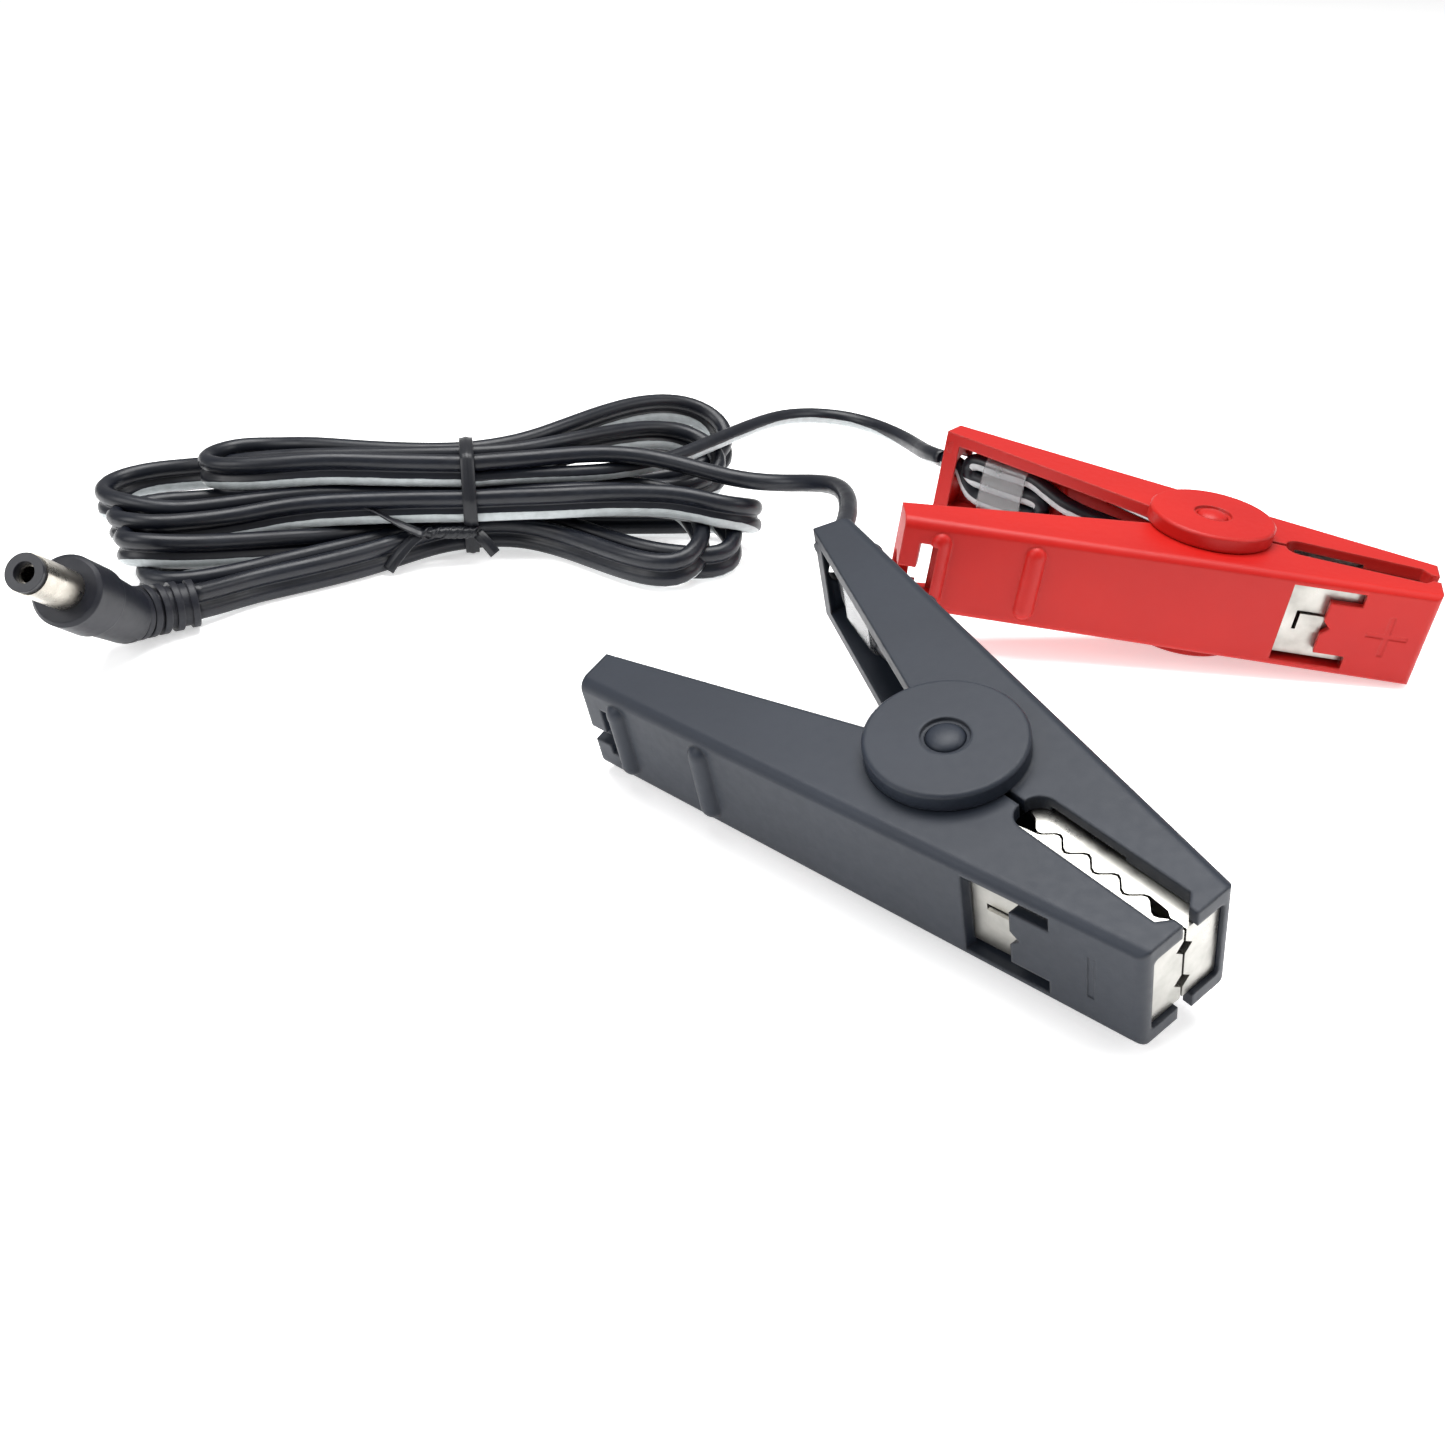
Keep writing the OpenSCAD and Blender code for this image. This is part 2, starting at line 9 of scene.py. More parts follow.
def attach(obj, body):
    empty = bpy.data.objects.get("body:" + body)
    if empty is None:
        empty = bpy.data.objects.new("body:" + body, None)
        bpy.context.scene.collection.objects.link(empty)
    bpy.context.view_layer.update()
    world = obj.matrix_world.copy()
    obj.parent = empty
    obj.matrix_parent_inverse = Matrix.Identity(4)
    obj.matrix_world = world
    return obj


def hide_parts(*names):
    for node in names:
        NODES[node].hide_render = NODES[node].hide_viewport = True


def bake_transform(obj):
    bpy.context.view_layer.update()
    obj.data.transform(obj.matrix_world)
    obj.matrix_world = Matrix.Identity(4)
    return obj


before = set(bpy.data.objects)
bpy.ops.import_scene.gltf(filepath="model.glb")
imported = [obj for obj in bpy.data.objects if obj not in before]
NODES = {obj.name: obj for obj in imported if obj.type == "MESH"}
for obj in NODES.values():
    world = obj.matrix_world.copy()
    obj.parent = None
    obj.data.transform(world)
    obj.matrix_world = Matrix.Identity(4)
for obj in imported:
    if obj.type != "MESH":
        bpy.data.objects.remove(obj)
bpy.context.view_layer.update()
scene = bpy.context.scene


# ---------------------------------------------------------------- helpers

def spline(points, step=1.2):
    """Smooth line through given points, in millimetres."""
    p = np.array(points, float)
    out = []
    for i in range(len(p) - 1):
        a, b, c, d = p[max(i - 1, 0)], p[i], p[i + 1], p[min(i + 2, len(p) - 1)]
        k = max(2, int(round(np.linalg.norm(c - b) / step)))
        for j in range(k):
            t = j / k
            out.append(0.5 * (2 * b + (c - a) * t + (2 * a - 5 * b + 4 * c - d) * t * t
                              + (3 * b - a - 3 * c + d) * t ** 3))
    out.append(p[-1])
    return np.array(out)


def arc_length(p):
    """Distance along a line to each of its points."""
    return np.concatenate([[0], np.cumsum(np.linalg.norm(np.diff(p, axis=0), axis=1))])


def evenly(p, step):
    """The line again, with points about step apart."""
    s = arc_length(p)
    n = max(2, int(round(s[-1] / step))) + 1
    t = np.linspace(0, s[-1], n)
    return np.stack([np.interp(t, s, p[:, k]) for k in range(3)], axis=1)


def soften(p, times):
    """Moves each inner point halfway to the middle of its neighbours, times over."""
    q = p.copy()
    for _ in range(times):
        q[1:-1] = q[1:-1] * 0.5 + (q[:-2] + q[2:]) * 0.25
    return q


def unit(v):
    return v / np.maximum(np.linalg.norm(v, axis=-1, keepdims=True), 1e-9)


def axes(p, level=True):
    """Tangent, side and up at each point of a line.

    The side stays level, or else it is carried along the line without turning."""
    t = unit(np.gradient(p, axis=0))
    if level:
        s = unit(np.cross(t, [0, 0, 1.0]))
        for _ in range(3):
            s = unit(soften(s, 2))
        s = unit(s - t * np.sum(s * t, axis=1, keepdims=True))
    else:
        s = np.zeros_like(t)
        first = np.cross(t[0], [0, 0, 1.0] if abs(t[0][2]) < 0.9 else [1.0, 0, 0])
        s[0] = first / np.linalg.norm(first)
        for i in range(1, len(t)):
            v = s[i - 1] - t[i] * np.dot(s[i - 1], t[i])
            s[i] = v / np.linalg.norm(v)
    return t, s, np.cross(s, t)


def sweep(name, rings, closed=False, attribute=None):
    """Tube mesh from rings, an array of points in millimetres: rings x corners x 3.

    An open tube gets flat ends. attribute is one value for each point, saved as stripe_a."""
    n, k, _ = rings.shape
    verts = rings.reshape(-1, 3) * 0.001
    i = np.arange(n if closed else n - 1)[:, None]
    j = np.arange(k)[None, :]
    a = i * k + j
    b = i * k + (j + 1) % k
    c = ((i + 1) % n) * k + (j + 1) % k
    d = ((i + 1) % n) * k + j
    faces = np.stack([a, b, c, d], axis=2).reshape(-1, 4).tolist()
    if not closed:
        faces.append(list(range(k))[::-1])
        faces.append([(n - 1) * k + x for x in range(k)])
    mesh = bpy.data.meshes.new(name)
    mesh.from_pydata(verts.tolist(), [], faces)
    mesh.update()
    bm = bmesh.new()
    bm.from_mesh(mesh)
    bmesh.ops.recalc_face_normals(bm, faces=bm.faces)
    bm.to_mesh(mesh)
    bm.free()
    for f in mesh.polygons:
        f.use_smooth = len(f.vertices) == 4
    if attribute is not None:
        layer = mesh.attributes.new("stripe_a", "FLOAT", "POINT")
        layer.data.foreach_set("value", attribute.astype(np.float32).ravel())
    o = bpy.data.objects.new(name, mesh)
    scene.collection.objects.link(o)
    return o


STRIPE_REACH = math.radians(60)     # a point this far round from the stripe's centre has stripe_a 1
NO_STRIPE = 9.0                     # stripe_a of a plain strand
LEAD_LIE = 30                       # how far below the front the stripe lies on a single strand, degrees
WEB = 62                            # where the web of the flex meets a strand, degrees from level


def stripe_centre(s, lie):
    """Where the printed stripe sits round a strand: lie degrees below the side that faces the front."""
    facing = soften(np.clip(-1.5 * s[:, 1], -1, 1), 8)
    return np.radians(-90 + (90 - lie) * facing)


def wrap(a):
    """Size of an angle, the short way round."""
    return np.abs((a + math.pi) % (2 * math.pi) - math.pi)


def circle_rings(p, s, u, r, a):
    """A ring of radius r round each point of the line p, with a corner at each angle in a."""
    out = np.cos(a)[None, :, None] * s[:, None] + np.sin(a)[None, :, None] * u[:, None]
    return p[:, None] + r * out


def round_cord(name, p, r, striped, k=20):
    _, s, u = axes(p)
    a = np.linspace(0, 2 * math.pi, k, endpoint=False)
    if striped:
        att = wrap(a[None, :] - stripe_centre(s, LEAD_LIE)[:, None]) / STRIPE_REACH
    else:
        att = np.full((len(p), k), NO_STRIPE)
    return sweep(name, circle_rings(p, s, u, r, a), attribute=att)


def twin_cord(name, p, r, lie, k=16):
    """Figure-8 flex lying on edge, the striped strand underneath."""
    _, s, u = axes(p)
    top = np.radians(np.linspace(-WEB, 180 + WEB, k))
    low = np.radians(np.linspace(180 - WEB, 360 + WEB, k))
    c = stripe_centre(s, lie)[:, None]
    a = np.concatenate([top, low])
    off = np.concatenate([np.full(k, r), np.full(k, -r)])
    rings = (p[:, None] + (r * np.cos(a))[None, :, None] * s[:, None]
             + (off + r * np.sin(a))[None, :, None] * u[:, None])
    plain = np.full((len(p), k), NO_STRIPE)
    att = np.concatenate([plain, wrap(low[None, :] - c) / STRIPE_REACH], axis=1)
    return sweep(name, rings, attribute=att)


def smooth_tube(name, p, r, k):
    _, s, u = axes(p, level=False)
    a = np.linspace(0, 2 * math.pi, k, endpoint=False)
    return sweep(name, circle_rings(p, s, u, r, a))


# ---------------------------------------------------------------- camera

cam_data = bpy.data.cameras.new("camera")
cam_data.sensor_width = 36
cam_data.lens = 34.88
cam_data.shift_x = 0.0310
cam_data.shift_y = -0.0326
cam_data.clip_start = 0.01
camera = bpy.data.objects.new("camera", cam_data)
scene.collection.objects.link(camera)
pitch, roll = math.radians(29.574), math.radians(0.708)     # looking down, and tilted sideways
forward = Vector((0, math.cos(pitch), -math.sin(pitch)))
right0 = Vector((1, 0, 0))
up0 = right0.cross(forward)
right = right0 * math.cos(roll) + up0 * math.sin(roll)
up = up0 * math.cos(roll) - right0 * math.sin(roll)
stand = Matrix((right, up, -forward)).transposed().to_4x4()
stand.translation = Vector((-0.046906, -0.155379, 0.095613))
camera.matrix_world = stand
scene.camera = camera


# ---------------------------------------------------------------- cords

STRAND = 1.35               # radius of one strand, mm
STEP = 1.35                 # distance between points of a cord's line, mm
HEAD = math.radians(9)      # heading of the bundle's passes at the tie
TIE_X, TIE_Y = -81.0, 56.0  # middle of the tie, mm

# Places of the runs inside the tie: across the bundle, and height
SLOTS = {"T1": (-2.9, 13.7), "T2": (-0.1, 14.2), "T3": (2.7, 13.7),
         "M1": (-4.8, 8.7), "M2": (-2.1, 8.7), "M3": (0.6, 8.8), "M4": (3.3, 8.7), "M5": (6.0, 8.7),
         "B1": (-1.6, 3.3), "B2": (1.2, 3.3), "B3": (4.0, 3.3)}


def slot(name):
    """Point of a run inside the tie."""
    b, z = SLOTS[name]
    return (TIE_X - math.sin(HEAD) * b, TIE_Y + math.cos(HEAD) * b, z)


# Runs of the hank in order along the flex. The last two numbers of each are how far round from the
# front, in degrees downwards, the stripe of the lower strand lies at its start and at its end.
RUNS = [
    ([(-117.6, 26.2, 3.6), (-114.4, 29.7, 3.1), (-111.1, 33.4, 2.8), (-106.4, 36.6, 2.75),
      (-101.6, 39.9, 2.75), (-96.4, 43.9, 2.75), (-91.4, 48.4, 2.9), (-86.6, 52.2, 3.2), slot("B1")], 125, 125),
    ([(-73.5, 55.2, 3.1), (-66.5, 52.4, 2.8), (-60, 47.8, 2.7), (-54, 43.6, 2.7), (-48.6, 41.4, 2.7)], 120, 110),
    ([(-44.4, 42.2, 3), (-41.8, 46.2, 4.4), (-42.2, 51.8, 6.2), (-45, 55.6, 7.8), (-51.2, 57, 8.8),
      (-58, 57.2, 9.2), (-65, 57.3, 9.2), (-73, 57.4, 9), slot("M3")], 15, 12),
    ([(-90, 54.8, 8), (-99, 52.4, 6.2), (-108, 48.6, 4.2), (-115, 45.4, 3), (-121, 43.2, 2.7),
      (-126.2, 41, 2.7), (-128.6, 36.8, 2.7), (-125.8, 32.8, 2.7), (-120.4, 32.8, 2.7), (-114, 36, 2.7),
      (-107, 40.8, 2.7), (-99, 46.2, 2.7), (-91, 51.6, 2.9), slot("B2")], 12, 12),
    ([(-73, 58, 3.2), (-66, 55.8, 2.9), (-59, 50.8, 2.7), (-53, 46.4, 2.7), (-46.8, 44.2, 2.7)], 110, 100),
    ([(-42, 44.4, 3.2), (-39, 48, 4.8), (-39.8, 53, 6.8), (-44.4, 55.2, 8.4), (-49.4, 54.8, 9.2),
      (-56.5, 54.5, 9.6), (-63.5, 54.5, 9.6), (-71, 54.4, 9.2), slot("M2")], 15, 12),
    ([(-90, 52.8, 8.8), (-99, 52.6, 8.9), (-108, 51.6, 9), (-117, 49.2, 8.7), (-125, 46.8, 8.6),
      (-131.8, 46.2, 8.7), (-136.4, 49.8, 8.8), (-136.6, 55.2, 9), (-132.2, 58.8, 9.4),
      (-125, 59.8, 9.9),
      (-116, 59.4, 11.2), (-107, 58.4, 12), (-98, 57.4, 12.8), (-89.5, 56.4, 13.6), slot("T2")], 10, 12),
    ([(-74, 57.8, 14.1), (-68, 61.2, 14.1), (-62, 65.8, 13.8), (-56.4, 70.4, 13.2), (-51, 74, 12.4),
      (-45.4, 75.2, 11), (-40.6, 72.6, 9.2), (-41, 67.6, 7), (-46.4, 64.6, 5.9), (-53, 63.8, 5.9),
      (-61, 63.2, 6.8), (-70, 61.6, 7.8), slot("M4")], -12, 5),
    ([(-90, 58, 8), (-99, 56.2, 7.2), (-108, 53.2, 6.6), (-115.6, 50.2, 6.2), (-122.4, 47.8, 6),
      (-128, 45, 5.9), (-130.8, 40.4, 5.8), (-128.2, 36.2, 5.7), (-122.6, 36.2, 5.5), (-115.6, 39.4, 5.2),
      (-107.6, 44, 4.8), (-99, 49.2, 4.1), (-90.5, 55, 3.6), slot("B3")], 12, 12),
    ([(-72.5, 60.8, 3.3), (-65, 61.2, 3), (-58, 61.2, 2.8), (-51, 61, 2.8), (-44, 60.6, 2.8)], 100, 90),
    ([(-39.4, 59.4, 3.2), (-35.8, 55.6, 4.2), (-36.4, 50.8, 5.6), (-41, 48.8, 6.8), (-46.5, 49.8, 8.7),
      (-53, 50.8, 9.4), (-60, 51.4, 9.5), (-67, 51.6, 9.2), (-74, 51.8, 8.9), slot("M1")], 10, 10),
    ([(-90, 50.9, 8.5), (-99, 49.6, 8.1), (-108, 47.4, 7.7), (-115.4, 44.8, 6.8), (-122, 42.2, 6.5),
      (-127.8, 40.8, 6.3), (-132.8, 43, 6.3), (-133.8, 48, 6.4), (-129.6, 51.8, 6.6), (-122.6, 53.6, 7),
      (-115, 55.4, 7.8), (-106, 57.4, 8.2), (-97, 59.8, 8.5), (-89, 61.2, 8.6), slot("M5")], 10, 12),
    ([(-73, 64.4, 7.6), (-65, 66.2, 6.6), (-57, 67.6, 6), (-49.4, 69.4, 6), (-42.6, 72, 7)], 80, 40),
    ([(-39.2, 76, 8.8), (-39.8, 81, 10.9), (-43.8, 84, 13), (-48.8, 83.4, 14.3), (-54.6, 79.8, 15),
      (-60.6, 74.4, 15), (-66, 68.6, 14.7), (-73, 62.6, 14), slot("T3")], -10, -15),
    ([(-89, 58.8, 13.4), (-98, 59.6, 13.4), (-107, 60.8, 13.5), (-113, 61.8, 12.9), (-118.6, 61.4, 12.9),
      (-122.6, 58.4, 12.9), (-122.2, 53.8, 12.9), (-117.4, 51.6, 13), (-110.6, 51.2, 13.2),
      (-103.5, 51.6, 13.5),
      (-95.5, 52, 13.5), (-88, 52.5, 13.6), slot("T1")], 8, 15)]
flex_points = [p for run, _, _ in RUNS for p in run]
flex_lie = [a + (b - a) * i / (len(run) - 1) for run, a, b in RUNS for i in range(len(run))]
black_points = [(-80.5, 53.2, 15.05), (-76.3, 54, 15.15), (-71.5, 55, 15.2), (-65.5, 56.6, 15.3),
                (-59, 57.4, 15.4), (-52, 56.6, 15.2), (-45, 54, 14.6), (-39, 51.6, 13.9),
                (-33.4, 50.6, 13.6), (-29.6, 49.2, 14.2), (-25.4, 45.4, 15.8), (-23.2, 40, 17.4),
                (-22.6, 33.6, 18.2), (-23.4, 26, 18.7), (-25.1, 18.4, 19.2), (-26.6, 11.3, 19.5)]
red_points = [(-80.5, 53.2, 12.35), (-76.3, 54, 12.35), (-71.5, 54.9, 12.3), (-65.5, 55.4, 12.4),
              (-59.5, 56.2, 12.6), (-53.5, 58.4, 12.8),
              (-48, 62.2, 12.9), (-43.4, 67.4, 13), (-39.2, 72.6, 13), (-35.2, 77.6, 13), (-31, 83.2, 12.6),
              (-26, 87.6, 12), (-20, 89.8, 11.2), (-14.6, 88.4, 10.8), (-10.4, 83.4, 10.9), (-7.8, 77.4, 11.4),
              (-6.6, 71.5, 12.2), (-6.2, 66.4, 13.3), (-6, 62.6, 14.2), (-4.2, 59.5, 14.6)]


TOUCH = 2.74        # strands closer than this, centre to centre, are pushed apart, mm
SPREAD = 2.78       # the distance that a push aims at, mm
PUSH_MAX = 0.8      # furthest that a point moves in one turn, mm
NEAR = 9            # stretches of one strand closer than this along it aren't compared, mm
JOINT = 12          # length at the split where the leads and the flex aren't compared, mm
ROUNDS = 170        # turns of pushing
EASY = 90           # turns after which the lines are smoothed less


def not_compared(owner, along, last):
    """Pairs of strand points that are close by design: neighbours on a strand, and all round the split."""
    near = (owner[:, None] == owner[None, :]) & (np.abs(along[:, None] - along[None, :]) < NEAR)
    end = (owner == 0) & (along > last - JOINT)
    start = (owner > 0) & (along < JOINT)
    joint = ((end[:, None] & start[None, :]) | (end[None, :] & start[:, None])
             | (start[:, None] & start[None, :]))
    return near | joint


def pushes(x, skip):
    """How far each point moves to leave the points that it is too close to."""
    sq = np.sum(x * x, axis=1)
    d2 = sq[:, None] + sq[None, :] - 2 * x @ x.T
    i, j = np.nonzero((d2 < TOUCH ** 2) & ~skip)
    keep = i < j
    i, j = i[keep], j[keep]
    v = x[i] - x[j]
    dist = np.maximum(np.linalg.norm(v, axis=1), 0.05)
    push = (SPREAD - dist)[:, None] * v / dist[:, None] * 0.5
    total = np.zeros((len(x), 3))
    count = np.zeros(len(x))
    np.add.at(total, i, push)
    np.add.at(total, j, -push)
    np.add.at(count, i, 1)
    np.add.at(count, j, 1)
    return total / np.maximum(count, 1)[:, None] ** 0.5


def settle(lines, twin, free):
    """Pushes strands that overlap apart, keeping each line smooth and above the floor.

    It doesn't finish the job: at the loop ends of the hank, some strands still lie in each other.
    twin marks the lines with two strands, and free says how far each point may move, from 0 to 1."""
    home = [p.copy() for p in lines]
    move = [np.zeros_like(p) for p in lines]
    strands = [2 if w else 1 for w in twin]
    owner = np.concatenate([np.full(len(p) * m, i) for i, (p, m) in enumerate(zip(lines, strands))])
    along = np.concatenate([np.tile(arc_length(p), m) for p, m in zip(lines, strands)])
    splits = np.cumsum([len(p) * m for p, m in zip(lines, strands)])[:-1]
    skip = not_compared(owner, along, arc_length(lines[0])[-1])
    for turn in range(ROUNDS):
        points = []
        for p, w in zip([h + d for h, d in zip(home, move)], twin):
            if w:
                _, _, u = axes(p)
                points += [p + u * STRAND, p - u * STRAND]
            else:
                points.append(p)
        parts = np.split(pushes(np.concatenate(points).astype(np.float32), skip), splits)
        for k, (part, w) in enumerate(zip(parts, twin)):
            n = len(lines[k])
            step = part[:n] + part[n:] if w else part
            size = np.linalg.norm(step, axis=1, keepdims=True)
            step *= np.minimum(1, PUSH_MAX / np.maximum(size, 1e-9))
            d = soften(move[k] + step, 5 if turn < EASY else 2)
            lowest = strands[k] * STRAND + 0.03
            d[:, 2] = np.maximum(d[:, 2], lowest - home[k][:, 2])
            move[k] = d * free[k][:, None]
    return [h + d for h, d in zip(home, move)]


def ramp(s, a, b):
    """0 up to a, 1 from b, and straight between."""
    return np.clip((s - a) / (b - a), 0, 1)


flex = evenly(soften(spline(flex_points), 2), STEP)
black = evenly(soften(spline(black_points), 4), STEP)
red = evenly(soften(spline(red_points), 4), STEP)
sf, sb, sr = arc_length(flex), arc_length(black), arc_length(red)
# Fixed at the plug and at the clips, and free in the hank
free = [ramp(sf, 4, 16), 1 - ramp(sb, 48, 60), 1 - ramp(sr, 56, 68)]
flex, black, red = settle([flex, black, red], [True, False, False], free)
flex = evenly(soften(flex, 4), STEP)
black, red = soften(black, 4), soften(red, 4)
_, side_end, up_end = axes(flex)
for lead_line, sign in ((black, 1), (red, -1)):      # the strands run on from the two halves of the flex
    want = flex[-1] + up_end[-1] * STRAND * sign
    w = 1 - ramp(arc_length(lead_line), 0, 16)
    lead_line += (want - lead_line[0]) * (w * w * (3 - 2 * w))[:, None]
    lead_line[:] = soften(lead_line, 3)

# How far round the stripe lies, from the runs' own figures
raw = spline(flex_points)
marks = [arc_length(raw)[np.argmin(np.linalg.norm(raw - np.array(p), axis=1))] for p in flex_points]
share = arc_length(flex) / arc_length(flex)[-1] * arc_length(raw)[-1]
flex_turn = np.interp(share, marks, flex_lie)
flex_turn = soften(flex_turn, 10)
flex_cord = twin_cord("flex_cord", flex, STRAND, flex_turn)
black_cord = round_cord("black_lead_cord", black, STRAND, False)
red_cord = round_cord("red_lead_cord", red, STRAND, True)


# ---------------------------------------------------------------- twist tie

def hull_loop(centre, across, upward, reach, grow, n=96):
    """Loop round the strands of the flex that pass the tie, in the plane across the bundle."""
    _, _, u = axes(flex)
    pts = []
    for q in (flex + u * STRAND, flex - u * STRAND):
        d = q - centre
        ok = np.abs(d @ np.cross(across, upward)) < reach
        pts.append(np.stack([d[ok] @ across, d[ok] @ upward], axis=1))
    pts = np.concatenate(pts)
    a = np.linspace(0, 2 * math.pi, n, endpoint=False)
    nrm = np.stack([np.cos(a), np.sin(a)], axis=1)
    h = (pts @ nrm.T).max(axis=0) + STRAND + grow
    for _ in range(4):
        h = 0.5 * h + 0.25 * (np.roll(h, 1) + np.roll(h, -1))
    dh = (np.roll(h, -1) - np.roll(h, 1)) / (2 * (a[1] - a[0]))
    tan = np.stack([-np.sin(a), np.cos(a)], axis=1)
    return h[:, None] * nrm + dh[:, None] * tan


STRIP_T = 0.62      # height of the strip's outline, mm
END_W = 1.9         # width of the strip's twisted ends, mm
TWISTS = 2.3        # turns of the two ends round each other


def strip(name, p, width, normals, closed=False):
    """Flat plastic strip with a wire core: a thin band with rounded edges and a raised middle."""
    lower = [(-1, -0.10), (-0.94, -0.24), (-0.45, -0.27), (-0.2, -0.46), (0, -0.52), (0.2, -0.46),
             (0.45, -0.27), (0.94, -0.24), (1, -0.10)]
    outline = lower + [(-x, -y) for x, y in lower]
    t = unit(np.roll(p, -1, 0) - np.roll(p, 1, 0)) if closed else unit(np.gradient(p, axis=0))
    nr = unit(normals - t * np.sum(normals * t, axis=1, keepdims=True))
    w = np.cross(t, nr)
    o = np.array(outline)
    rings = (p[:, None] + (o[:, 0] * width / 2)[None, :, None] * w[:, None]
             + (o[:, 1] * STRIP_T)[None, :, None] * nr[:, None])
    return sweep(name, rings, closed=closed)


waist = np.array([TIE_X, TIE_Y, 8.6])
across = np.array([-math.sin(HEAD), math.cos(HEAD), 0.0])
upward = np.array([0, 0, 1.0])
flat_loop = hull_loop(waist, across, upward, 2.2, 0.42)
loop = waist + flat_loop[:, :1] * across + flat_loop[:, 1:] * upward
loop[:, 2] = np.maximum(loop[:, 2], 0.4)
outwards = unit(loop - loop.mean(axis=0))
band = strip("tie_band", loop, 2.2, outwards, closed=True)

# The knot starts at the front of the loop, low down
front = loop[np.argmin(loop @ across + 0.55 * np.abs(loop[:, 2] - 5.0))]
knot0 = front + np.array([0.9, -0.7, 0.0])
knot1 = np.array([-87.6, 46.9, 5.9])


def helix_pair():
    """The two ends of the strip, twisted round each other from knot0 to knot1, with their normals."""
    pieces = []
    t = np.linspace(0, 1, 40)
    base = knot0[None] * (1 - t)[:, None] + knot1[None] * t[:, None]
    d = unit((knot1 - knot0)[None])[0]
    e1 = unit(np.cross(d, [0, 0, 1.0])[None])[0]
    e2 = np.cross(e1, d)
    for phase in (0, math.pi):
        a = 2 * math.pi * TWISTS * t + phase
        rad = 0.55 * np.sin(math.pi * np.clip(t * 1.15 + 0.08, 0, 1)) ** 0.5 + 0.12
        off = e1[None] * (np.cos(a) * rad)[:, None] + e2[None] * (np.sin(a) * rad)[:, None]
        normal = e1[None] * np.cos(a)[:, None] + e2[None] * np.sin(a)[:, None]
        pieces.append((base + off, normal))
    return pieces


(h0, n0), (h1, n1) = helix_pair()
long_end = spline([h0[-1], (-90.5, 47.2, 7.2), (-94.8, 48.6, 8.8), (-99.4, 49.4, 10.2)], 0.6)
short_end = spline([h1[-1], (-89.2, 45.9, 4.8), (-91.3, 44.6, 2.6), (-92.6, 43.9, 0.9)], 0.5)


def carry(n_start, p, turn):
    """Normals carried along an end from its start, with a slow turn."""
    t = unit(np.gradient(p, axis=0))
    v = n_start
    out = []
    for i in range(len(p)):
        v = v - t[i] * np.dot(v, t[i])
        v = v / np.linalg.norm(v)
        a = turn / len(p)
        v = v * math.cos(a) + np.cross(t[i], v) * math.sin(a)
        out.append(v)
    return np.array(out)


long_strip = strip("tie_long_end", np.concatenate([h0[:-1], long_end]), END_W,
                   np.concatenate([n0[:-1], carry(n0[-1], long_end, 0.9)]))
short_strip = strip("tie_short_end", np.concatenate([h1[:-1], short_end]), END_W,
                    np.concatenate([n1[:-1], carry(n1[-1], short_end, -0.5)]))
tail_points = spline([knot0 + np.array([0.1, 0.1, -0.2]), knot0 + np.array([1.4, -0.9, -1.2]),
                      knot0 + np.array([3.0, -1.6, -3.0])], 0.5)
snip = strip("tie_snip", tail_points, END_W, carry(np.array([0.3, -0.9, 0.3]), tail_points, 0.4))
tie_pieces = [band, long_strip, short_strip, snip]


# ---------------------------------------------------------------- clips: wires and springs

# Place in millimetres and turns in degrees of each clip, as in the CAD part. In a clip's own frame
# Z is the pivot, +X points to the jaw tip and the cable arm is on the +Y side.
CLIPS = {"black": ((-17.7, -32.1, 11.2), (16, 2.7, -54.6)),
         "red": ((27.3, 27.6, 9.95), (-0.5, 5, -20.4))}
JAW_LEN = 30.6          # from the pivot to the tip
TIP_HALF_W = 6.2        # half width over both arms at the tip
TAPER = 0.2152          # slope of the arms' outer edges
WALL = 1.534            # thickness of an outer wall, measured across the clip
SPRING_R = 3.4          # mean radius of the spring coil
SPRING_HALF = 3.2       # half of the coil's height
SPRING_WIRE_R = 0.5
LEG_X = -19.0           # where the spring's legs end
WIRE_R = 1.33           # radius of the inner wire


def placed(name, p):
    """Points of a clip's own frame, moved to where the clip lies."""
    at, turn = CLIPS[name]
    rx, ry, rz = (math.radians(v) for v in turn)
    m = np.array((Matrix.Rotation(rz, 3, "Z") @ Matrix.Rotation(ry, 3, "Y") @ Matrix.Rotation(rx, 3, "X")))
    return np.array(p, float) @ m.T + np.array(at)


def wall_y(x):
    """Inner face of the cable arm's outer wall."""
    return TIP_HALF_W + TAPER * (JAW_LEN - x) - WALL


def spring_line():
    """Five turns and a bit round the pivot, with a straight leg to each arm's wall."""
    tip = np.array([LEG_X, wall_y(LEG_X) - 0.6])
    a0 = math.atan2(tip[1], tip[0]) - math.acos(SPRING_R / np.linalg.norm(tip))
    turn = -(math.radians(360 * 5) + 2 * a0)
    i = np.linspace(0, 1, 200)
    a = a0 + turn * i
    coil = np.stack([SPRING_R * np.cos(a), SPRING_R * np.sin(a), SPRING_HALF * (1 - 2 * i)], axis=1)
    first = np.linspace([tip[0], tip[1], SPRING_HALF], coil[0], 14)[:-1]
    last = np.linspace(coil[-1], [tip[0], -tip[1], -SPRING_HALF], 14)[1:]
    return np.concatenate([first, coil, last])


